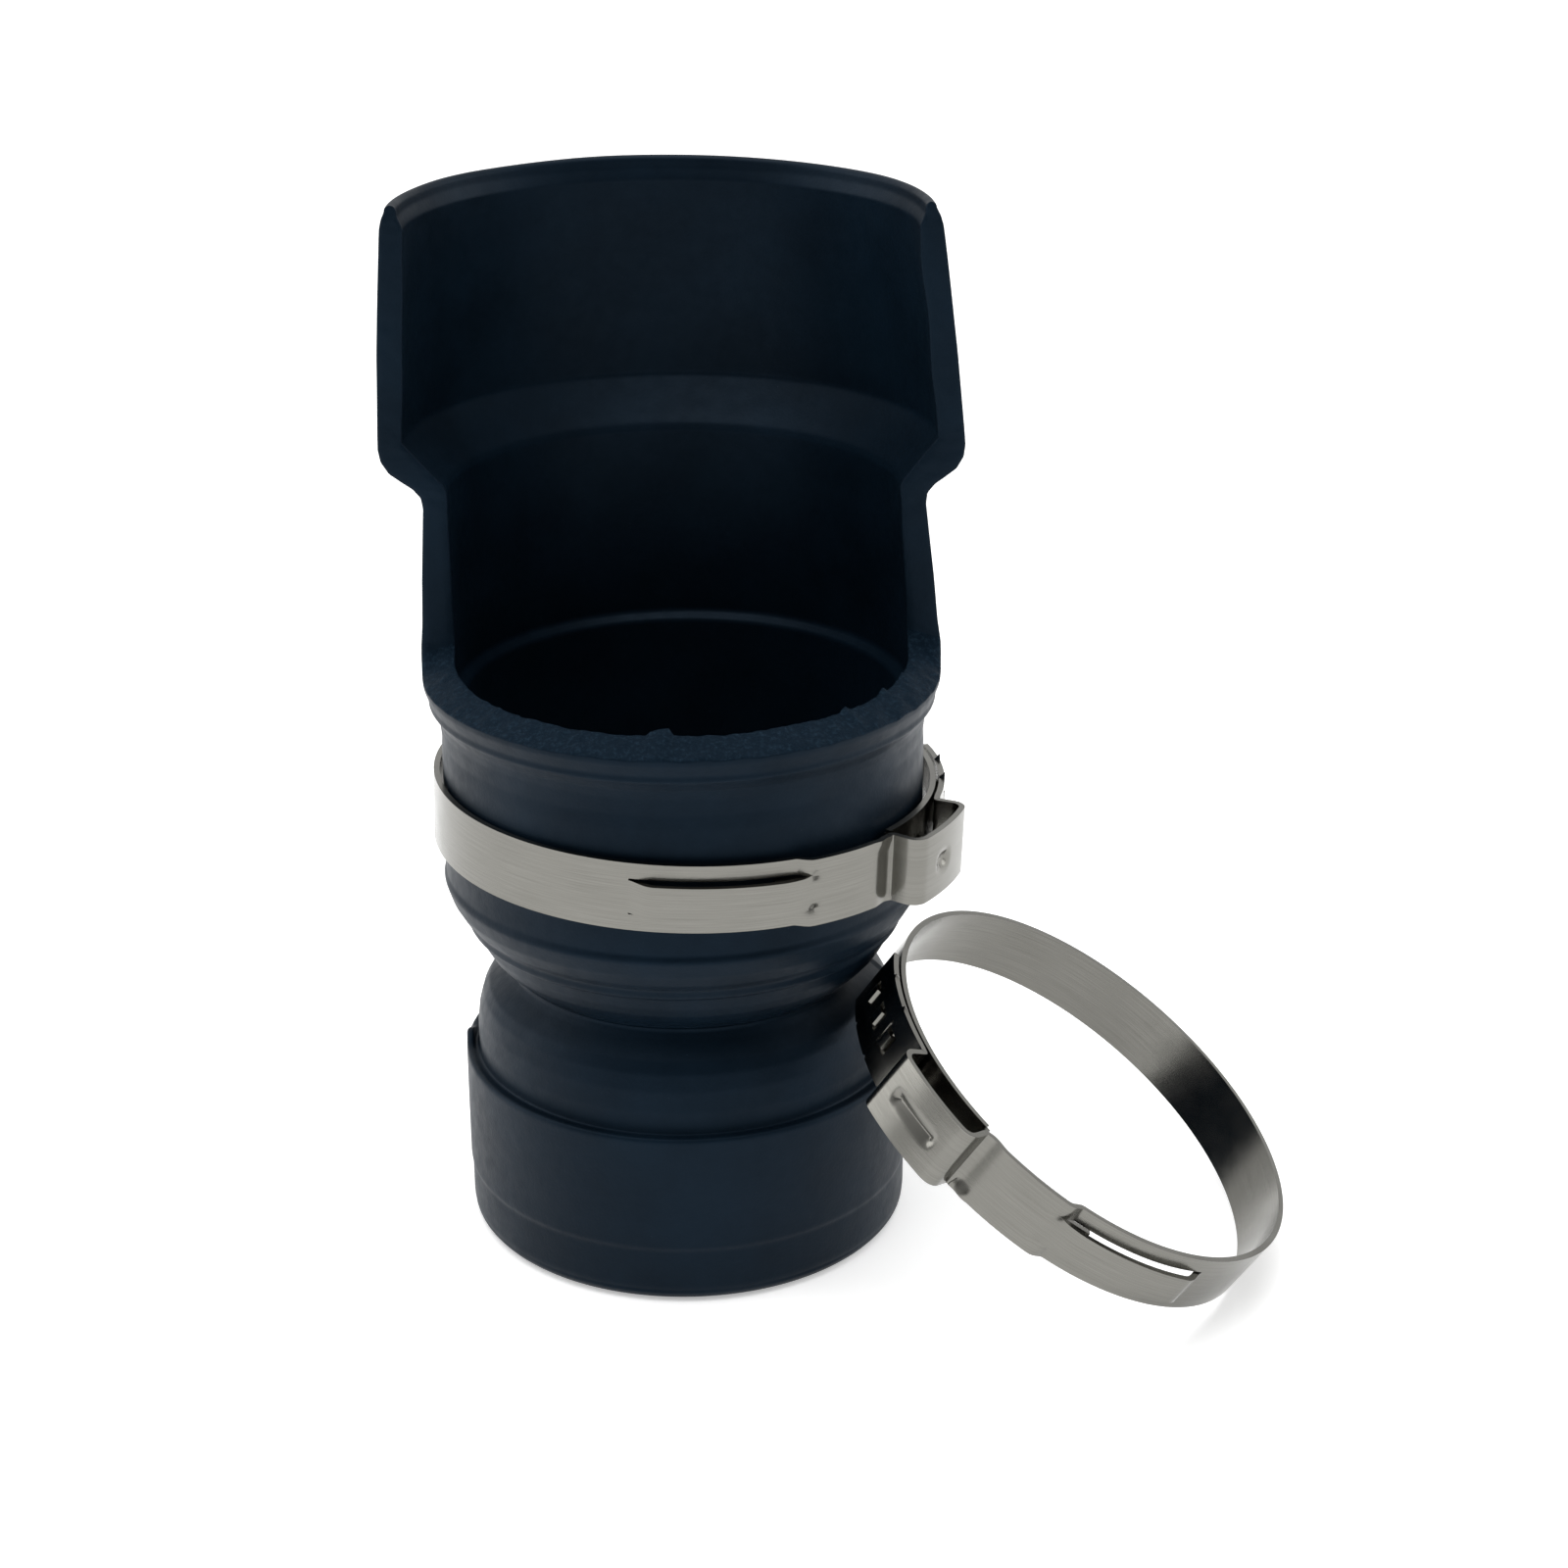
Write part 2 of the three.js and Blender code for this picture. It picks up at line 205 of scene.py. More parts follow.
# radius and height, in millimetres, up the outside and then down the bore
foot_outline = [
    (CUFF_BORE, 1.0), (20.5, 0.3), (21.0, 0.0), (21.9, 0.0), (22.7, 0.25), (23.15, 0.8), (23.34, 1.7),
    (23.36, 6.0), (CUFF_RADIUS, 6.35), (CUFF_RADIUS, 17.0), (CUFF_RADIUS, 18.55), (23.38, 18.85),
    (23.1, 18.92), (22.5, 18.8), (22.2, 18.8), (22.15, 19.3), (22.2, 21.2), (21.95, 23.4), (21.5, 25.2),
    (20.87, 26.3), (20.0, 27.1), (19.1, 27.9), (18.6, 28.5), (GROOVE_RADIUS, GROOVE_HEIGHT),
]
foot_bore = [
    (16.2, GROOVE_HEIGHT), (16.4, 28.1), (17.8, 26.3), (19.3, 24.4), (19.8, 22.0), (CUFF_BORE, 19.0),
    (CUFF_BORE, 1.0),
]


def sleeve_foot():
    """The foot's outline turned round its axis, with its wear, mould lines, lips and dent."""
    outside = soften(resample(foot_outline, 0.16), 2)
    inside = soften(resample(foot_bore, 0.8), 1)
    ring = outside + inside[:-1]
    points = []
    for column in range(FOOT_COLUMNS):
        angle = 2 * math.pi * column / FOOT_COLUMNS
        degrees = math.degrees(angle)
        from_left = abs(degrees - 180.0)
        near_left = math.exp(-((from_left / 4.0) ** 2))
        near_right = math.exp(-((min(degrees, 360 - degrees) / 3.0) ** 2))
        leaned_on = DENT_DEPTH * math.exp(-(((degrees - DENT_HEADING) / DENT_SPREAD) ** 2))
        for radius, height in ring:
            on_rim = radius > 22.8 and 18.3 < height < 19.2
            lip = (LIP_HEIGHT * near_left + 0.6 * near_right) if on_rim else 0.0
            wear = 0.10 * ripple(math.cos(angle) * 20, math.sin(angle) * 20, height, 9.0)
            seam = MOULD_LINE * math.exp(-((min(from_left, 180 - from_left) / 0.5) ** 2))
            out = radius - (wear - seam if radius > 18.6 and height > 1.2 else 0.0)
            if radius > GROOVE_RADIUS - 0.05:
                out -= leaned_on * ease(height, 22.5, 25.5)
            points.append((out * math.cos(angle), out * math.sin(angle), height + lip))
    count = len(ring)
    faces = []
    for column in range(FOOT_COLUMNS):
        here, there = column * count, ((column + 1) % FOOT_COLUMNS) * count
        for row in range(count):
            up = (row + 1) % count
            faces.append((here + row, there + row, there + up, here + up))
    return points, faces


foot = add_mesh("sleeve_foot", *sleeve_foot(), rubber)
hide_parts("lower_cuff", "waist_fold")
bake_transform(foot)


# ------------------------------------------------------------------ sleeve top
# The upper half of the groove, the barrel, the collar and the open hood, in the same rubber. The
# front was cut away with a knife after moulding: flat cut faces down both sides of the hood, a
# rough torn face along the front and ragged bits left hanging on its inner edge.

HOOD_LEAN = math.tan(math.radians(1.8))
LEAN_START = 63.0
TOP_HEIGHT = 107.8
CORNER_SIZE = 2.6
CUT_OUTER = 60.85
CUT_INNER = 61.9
CUT_TURN_RADIUS = 24.5
SIDE_BITE = 0.14
TOP_RIM = 0.6
FLAP_START = 261.0
FLAP_SPAN = 6.5

# radius and height, in millimetres, upwards on both sides of the wall
barrel_outline = [
    (GROOVE_RADIUS, GROOVE_HEIGHT), (18.6, 29.2), (19.1, 29.6), (20.0, 30.3), (20.9, 31.3), (21.6, 32.5),
    (21.95, 33.5), (22.1, 33.85), (22.7, 34.05), (22.85, 34.35), (22.9, 35.1), (23.7, 36.0), (24.45, 37.3),
    (24.85, 38.5), (25.0, 39.0), (24.95, 39.3), (24.75, 39.7), (24.7, 42.0), (24.7, 53.0), (24.62, 54.4),
    (24.7, 55.2), (24.82, 56.2), (25.1, 57.2), (25.6, 58.0), (25.85, 58.3),
    (25.8, 58.9), (26.0, 59.4), (26.3, 60.2), (26.4, 62.0), (26.4, 63.0), (26.1, 65.5), (25.8, 70.0),
    (25.1, 77.6), (25.25, 78.7), (26.0, 79.6), (27.0, 80.3), (28.2, 81.2), (28.9, 82.4), (29.08, 83.6),
    (29.0, 85.0), (28.4, 93.0), (27.25, 104.4), (27.12, 105.5), (26.88, 106.4), (26.5, 107.2),
    (26.4, TOP_HEIGHT),
]
bore_outline = [
    (16.2, GROOVE_HEIGHT), (16.4, 29.6), (18.2, 31.6), (20.2, 33.6), (20.6, 35.0), (22.0, 39.0),
    (22.0, 58.05), (22.15, 58.3), (22.9, 58.6), (23.0, 58.9), (22.8, 66.0), (22.5, 79.2), (22.8, 79.9),
    (23.6, 80.8), (26.35, 84.1), (26.5, 84.35), (26.5, 84.6), (25.8, 93.0), (24.76, 105.2),
    (24.72, 105.4), (24.9, 105.9), (25.2, 106.6), (25.35, TOP_HEIGHT),
]


def radius_at(line, height):
    """The line's radius at one height, its corners eased over a quarter of a millimetre."""
    def straight(level):
        for (r0, z0), (r1, z1) in zip(line, line[1:]):
            if level <= z1:
                return r0 + (r1 - r0) * max(0.0, level - z0) / (z1 - z0)
        return line[-1][0]
    offsets = ((-0.14, 1), (-0.07, 2), (0.0, 3), (0.07, 2), (0.14, 1))
    return sum(straight(height + o) * w for o, w in offsets) / 9


def hood_columns():
    """Column angles in degrees, closer together at the two upright cuts."""
    near = [0.0, 0.5, 1.1, 1.8, 2.6, 3.5, 4.6, 5.8, 7.0]
    middle = [7.0 + 166.0 * i / 150 for i in range(1, 150)]
    half = near + middle + [180 - a for a in reversed(near)]
    return half, [180 + a for a in half[1:-1]]


def torn_material():
    """Where the knife tore the rubber: dull and very rough, with pale crumbs standing up."""
    material, tree = new_material("cut EPDM rubber")
    place = add_node(tree, "ShaderNodeTexCoord").outputs["Object"]
    crumb = noise_node(tree, place, 2300.0, 4.0, Roughness=0.7)
    lump = noise_node(tree, place, 420.0, 2.0)
    pale = stretch(tree, crumb, 0.5, 0.72)
    finish_surface(
        tree,
        Base_Color=mix(tree, pale, linear("#07131d"), linear("#1a2935")),
        Roughness=0.78,
        IOR=1.5,
        Specular_IOR_Level=0.2,
        Specular_Tint=linear("#8fbce6"),
        Normal=bumps(tree, (lump, 0.5, 0.0005), (crumb, 0.7, 0.00025)),
    )
    return material


def sleeve_top():
    """The top's points, its faces and the numbers of the faces that were torn."""
    back, front = hood_columns()
    columns = back + front
    total = len(columns)
    points = []
    faces = []

    def put(angle, radius, height):
        """Adds one point, moved over by the hood's lean, and gives its number."""
        lean = HOOD_LEAN * max(0.0, height - LEAN_START)
        points.append((radius * math.cos(angle) - lean, radius * math.sin(angle), height))
        return len(points) - 1

    def cut_turn(degrees):
        """How far the cut has climbed its corner and how far it has turned upright, from 0 to 1."""
        if degrees <= 180:
            return CORNER_SIZE, 1.0
        away = math.radians(min(degrees - 180, 360 - degrees)) * CUT_TURN_RADIUS
        if away >= CORNER_SIZE:
            return 0.0, 0.0
        short = CORNER_SIZE - away
        climb = CORNER_SIZE - math.sqrt(max(0.0, CORNER_SIZE ** 2 - short ** 2))
        return climb, math.asin(short / CORNER_SIZE) / (math.pi / 2)

    def ragged(degrees):
        """Height of the torn lip on the front cut's inner edge."""
        along = math.radians(degrees) * 23
        fine = ripple(along, 3.0, 0.0, 0.9)
        broad = ripple(along, 9.0, 0.0, 3.5)
        lip = 0.35 * max(0.0, broad - 0.45) + 0.30 * (fine - 0.5)
        if 312 < degrees < 342:
            lip += 1.3 * max(0.0, fine * broad - 0.22)
        flap = degrees - FLAP_START
        if 0 < flap < FLAP_SPAN:
            lip += 0.8 * min(1.0, flap / 1.5) * (0.6 + 0.4 * flap / FLAP_SPAN)
        return lip

    def surface(line, degrees, height, is_outer):
        """Angle and radius of one spot on the wall, uneven as moulded rubber is."""
        angle = math.radians(degrees)
        radius = radius_at(line, height)
        x, y = radius * math.cos(angle), radius * math.sin(angle)
        wave = ripple(x, y, height, 11.0)
        if is_outer:
            radius -= 0.12 * wave * min(1.0, max(0.0, (height - 30) / 3))
        else:
            radius += 0.10 * wave
            right = math.exp(-((degrees / 9.0) ** 2)) if degrees <= 180 else 0.0
            left = math.exp(-(((180 - degrees) / 6.0) ** 2)) if degrees <= 180 else 0.0
            if height > 66:
                radius += (0.55 * right + 0.25 * left) * (ripple(0, 0, height + 40 * left, 7.0) - 0.5)
                radius -= 0.35 * right * math.exp(-(((height - 88) / 8) ** 2))
        return angle, radius

    def grow(line, start_levels, cut_level, is_outer):
        """The wall's rows from the groove up to the cut, for every column."""
        rows = []
        for level in start_levels:
            rows.append([put(*surface(line, d, level, is_outer), level) for d in columns])
        last = start_levels[-1]
        steps = 26
        for step in range(1, steps + 1):
            row = []
            for degrees in columns:
                climb, upright = cut_turn(degrees)
                top = cut_level + climb
                if degrees > 180:
                    top += (0.0 if is_outer else ragged(degrees)) * (1 - upright)
                    if is_outer:
                        top -= 0.3 * ripple(degrees / 4, 5.0, 2.0, 1.0) * (1 - upright)
                level = last + (top - last) * step / steps
                angle, radius = surface(line, degrees, level, is_outer)
                row.append(put(angle, radius, level))
            rows.append(row)
        return rows

    low_levels = [GROOVE_HEIGHT + 0.15 * i for i in range(78)]
    low_levels += [low_levels[-1] + 0.6 * i for i in range(1, 20)]
    low_levels += [low_levels[-1] + 0.15 * i for i in range(1, 34)]
    outer = grow(barrel_outline, low_levels, CUT_OUTER, True)
    inner = grow(bore_outline, low_levels, CUT_INNER, False)
    for wall, is_outer in ((outer, True), (inner, False)):
        for low, high in zip(wall, wall[1:]):
            for c in range(total):
                n = (c + 1) % total
                quad = (low[c], low[n], high[n], high[c])
                faces.append(quad if is_outer else quad[::-1])
    for c in range(total):
        n = (c + 1) % total
        faces.append((outer[0][n], outer[0][c], inner[0][c], inner[0][n]))

    def rim_drop(angle):
        """How far the hood's top edge dips, since it was trimmed by hand."""
        return 0.25 * ripple(math.cos(angle) * 6, math.sin(angle) * 6, 4.0, 3.0)

    # the hood above the corners, over its rim and down inside
    arc = 6
    spans = [0.0]
    base = CUT_OUTER + CORNER_SIZE
    while base + spans[-1] < TOP_HEIGHT - TOP_RIM - 0.3:
        here = base + spans[-1]
        spans.append(spans[-1] + (0.16 if 77.0 < here < 86.0 or here > 104.4 else 0.6))
    spans[-1] = TOP_HEIGHT - TOP_RIM - base
    rise = len(spans) - 1
    outer_hood, inner_hood = [outer[-1][:len(back)]], [inner[-1][:len(back)]]
    for step in range(1, rise + arc):
        for wall, line, start, is_outer in (
            (outer_hood, barrel_outline, CUT_OUTER + CORNER_SIZE, True),
            (inner_hood, bore_outline, CUT_INNER + CORNER_SIZE, False),
        ):
            row = []
            for degrees in back:
                if step <= rise:
                    share = spans[step] / spans[-1]
                    level = base + spans[step] + (start - base) * (1 - ease(share, 0.0, 0.3))
                    angle, radius = surface(line, degrees, level, is_outer)
                else:
                    turn = math.pi / 2 * (step - rise) / arc
                    level = TOP_HEIGHT - TOP_RIM + TOP_RIM * math.sin(turn)
                    angle, edge = surface(line, degrees, TOP_HEIGHT - TOP_RIM, is_outer)
                    radius = edge + (-1 if is_outer else 1) * TOP_RIM * (1 - math.cos(turn))
                level -= rim_drop(angle) * max(0.0, (level - 100) / 7.8)
                row.append(put(angle, radius, level))
            wall.append(row)
    crest = []
    for degrees in back:
        angle, outside = surface(barrel_outline, degrees, TOP_HEIGHT - TOP_RIM, True)
        inside = surface(bore_outline, degrees, TOP_HEIGHT - TOP_RIM, False)[1]
        crest.append(put(angle, (outside + inside) / 2, TOP_HEIGHT - rim_drop(angle)))
    outer_hood.append(crest)
    inner_hood.append(crest)
    for wall, is_outer in ((outer_hood, True), (inner_hood, False)):
        for low, high in zip(wall, wall[1:]):
            for c in range(len(back) - 1):
                quad = (low[c], low[c + 1], high[c + 1], high[c])
                faces.append(quad if is_outer else quad[::-1])

    # the cut face, one station after another: down the -X side, round the front, up the +X side
    stations = []
    last_back = len(back) - 1
    for step in range(len(outer_hood) - 2, 0, -1):
        stations.append((outer_hood[step][last_back], inner_hood[step][last_back], 1.0))
    stations.append((outer[-1][last_back], inner[-1][last_back], 1.0))
    for c in range(len(back), total):
        stations.append((outer[-1][c], inner[-1][c], cut_turn(columns[c])[1]))
    stations.append((outer[-1][0], inner[-1][0], 1.0))
    for step in range(1, len(outer_hood) - 1):
        stations.append((outer_hood[step][0], inner_hood[step][0], 1.0))

    shares = [0.05, 0.14, 0.27, 0.42, 0.58, 0.73, 0.86, 0.95]
    strips = []
    torn = set()
    for outside, inside, upright in stations:
        a, b = Vector(points[outside]), Vector(points[inside])
        turn = upright * math.pi / 2
        out = Vector((0.0, -math.sin(turn), math.cos(turn)))
        lane = [outside]
        for share in shares:
            spot = a.lerp(b, share)
            rough = ripple(spot.x, spot.y, spot.z, 1.1) - 0.5
            fine = ripple(spot.x, spot.y, spot.z, 0.45) - 0.5
            scale = 0.10 if upright > 0.9 else 0.5
            edge = SIDE_BITE * min(1.0, 6 * min(share, 1 - share))
            lift = edge + scale * rough + 0.4 * scale * fine
            spot = spot + out * lift
            points.append(tuple(spot))
            lane.append(len(points) - 1)
        lane.append(inside)
        strips.append(lane)
    for here, there, station in zip(strips, strips[1:], stations):
        for k in range(len(here) - 1):
            if station[2] < 0.75:
                torn.add(len(faces))
            faces.append((here[k], there[k], there[k + 1], here[k + 1]))
    for lane, tip, forward in ((strips[0], crest[last_back], True), (strips[-1], crest[0], False)):
        for k in range(len(lane) - 1):
            tri = (tip, lane[k], lane[k + 1])
            faces.append(tri if forward else tri[::-1])
    return points, faces, torn


top_points, top_faces, torn_faces = sleeve_top()
top = add_mesh("sleeve_top", top_points, top_faces, rubber)
top.data.materials.append(torn_material())
for index in torn_faces:
    top.data.polygons[index].material_index = 1
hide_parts("upper_sleeve")
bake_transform(top)


# ------------------------------------------------------------------ fitted clamp
# A stepless single-ear clamp hung round the barrel and not yet crimped. One strip of satin
# stainless steel, rolled past a full turn: three lanced hooks in the lower layer hold in windows
# of the upper one, the ear is bent up from the strip and its tongue slides in a pressed tunnel.

FITTED_BORE = 50.4
FITTED_HEIGHT = 46.3
STRIP_THICK = 0.6
LAYER_GAP = 0.3
UPPER = STRIP_THICK + LAYER_GAP
CROWN = UPPER + 3.0
EAR_HALF = 4.6
EAR_FOOT = 5.2
FOOT_PRESS = 0.28
TUNNEL_START = 15.1
TUNNEL_END = 32.6
TUNNEL_HALF = 1.8
TONGUE_HALF = 1.5
TONGUE_END = 18.6
OUTER_END = -19.6
HOOKS = (9.6, 13.0, 16.4)
WINDOW_LONG = 1.0
WINDOW_WIDE = 1.2
SLOT_SHARE = 0.8
SLOT_WIDE = 0.9
STEEL_BASE = "#7f7e79"
STEEL_DARK = "#6f6e69"


def steel_material():
    """Cold-rolled stainless strip: satin, with fine rolling lines along it and faint smudges."""
    material, tree = new_material("satin stainless strip")
    flat = add_node(tree, "ShaderNodeUVMap", uv_map="strip").outputs["UV"]
    place = add_node(tree, "ShaderNodeTexCoord").outputs["Object"]
    long = add_node(tree, "ShaderNodeMapping", {"Vector": flat, "Scale": (0.05, 4.0, 1.0)})
    lines = noise_node(tree, long.outputs["Vector"], 2500.0, 3.0, Roughness=0.6)
    smudge = noise_node(tree, place, 240.0, 3.0)
    pits = noise_node(tree, place, 5200.0, 1.0)
    shade = stretch(tree, lines, 0.3, 0.7)
    finish_surface(
        tree,
        Base_Color=mix(tree, shade, linear(STEEL_DARK), linear(STEEL_BASE)),
        Metallic=1.0,
        Roughness=stretch(tree, smudge, 0.3, 0.7, 0.17, 0.26),
        Normal=bumps(tree, (lines, 0.10, 0.00004), (pits, 0.08, 0.00003)),
    )
    return material


steel = steel_material()


def clamp_strip(name, bore, ear_mark, place):
    """One rolled strip, its arc lengths from the middle of the ear and its heights from the bore.

    The ear's mark is a pressed bead: its middle, half length, half width and depth.
    """
    bore_radius = bore / 2
    turn = math.pi * bore
    rough_route = [
        (OUTER_END, UPPER), (-EAR_FOOT - 0.6, UPPER), (-EAR_HALF - 0.1, UPPER + 0.15),
        (-EAR_HALF + 0.05, CROWN - 0.5), (-EAR_HALF + 0.5, CROWN), (EAR_HALF - 0.5, CROWN),
        (EAR_HALF - 0.05, CROWN - 0.5), (EAR_HALF + 0.1, UPPER + 0.15), (EAR_FOOT + 0.5, UPPER - FOOT_PRESS),
        (6.3, UPPER - FOOT_PRESS), (7.5, UPPER + 0.02), (8.2, UPPER), (TUNNEL_START - 1.4, UPPER),
    ]
    route = soften(resample(rough_route, 0.15), 5)
    thinned = [p for i, p in enumerate(route) if i % 2 == 0 or -6.5 < p[0] < 8.5]
    route = thinned if thinned[-1] == route[-1] else thinned + [route[-1]]

    def rail(arc):
        """Height of the strip on both sides of the tunnel, down from the upper layer to the lower."""
        return UPPER * (1 - ease(arc, TUNNEL_START - 0.2, TUNNEL_START + 1.4))

    def bridge(arc):
        """Height of the tunnel's roof."""
        up = 0.35 * ease(arc, TUNNEL_START, TUNNEL_START + 3.0)
        return (UPPER + up) * (1 - ease(arc, TUNNEL_END - 2.6, TUNNEL_END))

    inner_end = turn + EAR_FOOT - LAYER_GAP
    tongue_end = turn + TONGUE_END
    beyond = []
    arc = TUNNEL_START - 1.2
    for stop, spacing in ((TUNNEL_END + 0.5, 0.3), (turn - 19.0, 0.6), (tongue_end, 0.3)):
        while arc < stop:
            beyond.append(arc)
            arc += spacing
    beyond += [inner_end, tongue_end]
    for offset in HOOKS:
        beyond += [turn - offset - WINDOW_LONG * SLOT_SHARE, turn - offset + WINDOW_LONG * SLOT_SHARE]

    # the windows' ends get rows of their own, level with the strip that they are cut in
    window_ends = [(end - offset, UPPER) for offset in HOOKS for end in (-WINDOW_LONG, WINDOW_LONG)]
    rows = sorted(route + window_ends) + [(arc, None) for arc in sorted(set(beyond))]

    # places across the 7 mm strip; the two narrow lanes are the slits beside the tunnel
    lanes = [
        -3.5, -3.2, -2.8, -2.35, -TUNNEL_HALF - 0.1, -TUNNEL_HALF + 0.1, -TONGUE_HALF, -WINDOW_WIDE,
        -SLOT_WIDE, -0.45, 0.0, 0.45, SLOT_WIDE, WINDOW_WIDE, TONGUE_HALF, TUNNEL_HALF - 0.1,
        TUNNEL_HALF + 0.05, 2.35, 2.8, 3.2, 3.5,
    ]
    first_seam, second_seam = 4, 15

    def pressed(arc, across):
        """What is stamped into the strip: the ear's mark, the ear's foot and the inner end's rib."""
        depth = 0.0
        if abs(arc) < 4.2:
            middle, long, wide, sink = ear_mark
            reach = math.hypot(max(0.0, abs(arc - middle) - (long - wide)), across)
            depth -= sink * (1 - ease(reach, wide * 0.3, wide))
        if 13.0 < arc < 18.0:
            for side in (-TUNNEL_HALF, TUNNEL_HALF):
                near_slit = math.hypot((arc - TUNNEL_START + 0.2) / 1.3, across - side)
                depth -= 0.22 * (1 - ease(near_slit, 0.2, 0.8))
        if 5.6 < arc < 8.2 and across < -2.4:
            depth += 0.2 * ease(-across, 2.4, 3.1) * (1 - ease(arc, 7.0, 7.9))
        inner = arc - turn
        if -4.5 < inner < 4.6:
            reach = math.hypot(max(0.0, abs(inner - 0.4) - 2.2), across)
            depth += 0.22 * (1 - ease(reach, 0.25, 0.75))
        return depth

    points = []
    flat = []
    for arc, height in rows:
        for lane, across in enumerate(lanes):
            level = height
            if height is None:
                if arc < TUNNEL_END + 0.01:
                    level = bridge(arc) if first_seam < lane <= second_seam else rail(arc)
                else:
                    level = 0.0
            level += pressed(arc, across)
            angle = arc / bore_radius
            radius = bore_radius + level
            points.append(place @ Vector((radius * math.cos(angle), radius * math.sin(angle), across)))
            flat.append((arc / 1000, across / 1000))
    count = len(lanes)
    faces = []
    for i in range(len(rows) - 1):
        middle = (rows[i][0] + rows[i + 1][0]) / 2
        for lane in range(count - 1):
            if lane in (first_seam, second_seam) and TUNNEL_START < middle < TUNNEL_END:
                continue
            centre = (lanes[lane] + lanes[lane + 1]) / 2
            if any(abs(middle + h) < WINDOW_LONG and abs(centre) < WINDOW_WIDE for h in HOOKS):
                continue
            slot_half = WINDOW_LONG * SLOT_SHARE
            if any(abs(middle - turn + h) < slot_half and abs(centre) < SLOT_WIDE for h in HOOKS):
                continue
            if middle > inner_end and abs(centre) > TONGUE_HALF:
                continue
            if middle > inner_end - 0.35 and abs(centre) > 3.2:
                continue
            a = i * count + lane
            faces.append((a, a + count, a + count + 1, a + 1))

    mesh = bpy.data.meshes.new(name + " sheet")
    mesh.from_pydata([(p.x / 1000, p.y / 1000, p.z / 1000) for p in points], [], faces)
    layer = mesh.uv_layers.new(name="strip")
    for loop in mesh.loops:
        layer.data[loop.index].uv = flat[loop.vertex_index]
    sheet = bpy.data.objects.new(name + " sheet", mesh)
    bpy.context.scene.collection.objects.link(sheet)
    thick = sheet.modifiers.new("thick", "SOLIDIFY")
    thick.thickness = STRIP_THICK / 1000
    thick.offset = 1.0
    thick.use_even_offset = True
    bpy.context.view_layer.update()
    ready = sheet.evaluated_get(bpy.context.evaluated_depsgraph_get())
    solid = bpy.data.meshes.new_from_object(ready)
    bpy.data.objects.remove(sheet)

    # the lanced hooks: each stands up from the lower layer and bends over the window's edge
    outline = [(0.66, 0.05), (0.7, 1.1), (0.4, 1.72), (-0.2, 1.86), (-0.66, 1.72), (-0.66, 1.42),
               (-0.2, 1.5), (0.1, 1.3), (0.2, 0.9), (0.2, 0.05)]
    hook_points = [tuple(v.co) for v in solid.vertices]
    hook_faces = [tuple(p.vertices) for p in solid.polygons]
    uv = [tuple(solid.uv_layers["strip"].data[k].uv) for k in range(len(solid.loops))]
    for offset in HOOKS:
        start = len(hook_points)
        for across in (-0.86, 0.86):
            for along, height in outline:
                angle = (along - offset) / bore_radius
                radius = bore_radius + height
                spot = place @ Vector((radius * math.cos(angle), radius * math.sin(angle), across))
                hook_points.append((spot.x / 1000, spot.y / 1000, spot.z / 1000))
        size = len(outline)
        added = [tuple(range(start, start + size))[::-1], tuple(range(start + size, start + 2 * size))]
        for k in range(size):
            n = (k + 1) % size
            added.append((start + k, start + n, start + size + n, start + size + k))
        hook_faces += added
        for face in added:
            uv += [(-offset / 1000, 0.0)] * len(face)
    full = bpy.data.meshes.new(name)
    full.from_pydata(hook_points, [], hook_faces)
    layer = full.uv_layers.new(name="strip")
    for k, value in enumerate(uv):
        layer.data[k].uv = value
    full.shade_smooth()
    full.materials.append(steel)
    obj = bpy.data.objects.new(name, full)
    bpy.context.scene.collection.objects.link(obj)
    edge = obj.modifiers.new("edge", "BEVEL")
    edge.width = 0.00009
    edge.segments = 2
    edge.limit_method = "ANGLE"
    edge.angle_limit = math.radians(45)
    edge.harden_normals = True
    return obj


sleeve_place = Matrix.Translation((axis_x, axis_y, 0.0))
fitted_place = (
    sleeve_place
    @ Matrix.Translation((0.1, 0.0, FITTED_HEIGHT))
    @ Matrix.Rotation(math.radians(2.0), 4, "Y")
    @ Matrix.Rotation(math.radians(-28.5), 4, "Z")
    @ Matrix.Rotation(math.pi, 4, "X")
)
fitted = clamp_strip("fitted_clamp_strip", FITTED_BORE, (0.9, 1.5, 1.35, 0.5), fitted_place)
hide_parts("fitted_clamp")
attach(fitted, "fitted_clamp_body")


# ------------------------------------------------------------------ loose clamp
# The second clamp, of the same strip, for the smaller pipe. It is still open and leans
# against the sleeve's waist, standing on its rim. Its ear carries a long pressed bead.

LOOSE_BORE = 47.4
loose_lean, loose_heading = math.radians(34.33), math.radians(-14.64)
loose_axis = Vector((
    math.sin(loose_lean) * math.cos(loose_heading),
    math.sin(loose_lean) * math.sin(loose_heading),
    math.cos(loose_lean),
))
loose_across = Vector((0.0, 1.0, 0.0)).cross(loose_axis).normalized()
loose_along = loose_axis.cross(loose_across)
loose_basis = Matrix((loose_across, loose_along, loose_axis)).transposed().to_4x4()
loose_place = (
    sleeve_place
    @ Matrix.Translation((40.14, -12.59, 16.60))
    @ loose_basis
    @ Matrix.Rotation(math.radians(223.5), 4, "Z")
)
loose = clamp_strip("loose_clamp_strip", LOOSE_BORE, (0.0, 3.0, 1.0, 0.5), loose_place)
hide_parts("loose_clamp")
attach(loose, "loose_clamp_body")


# ------------------------------------------------------------------ studio
# A plain white light table that runs far back, one large soft light above and behind, softer
# fill from both sides and a dim room on the camera's side.


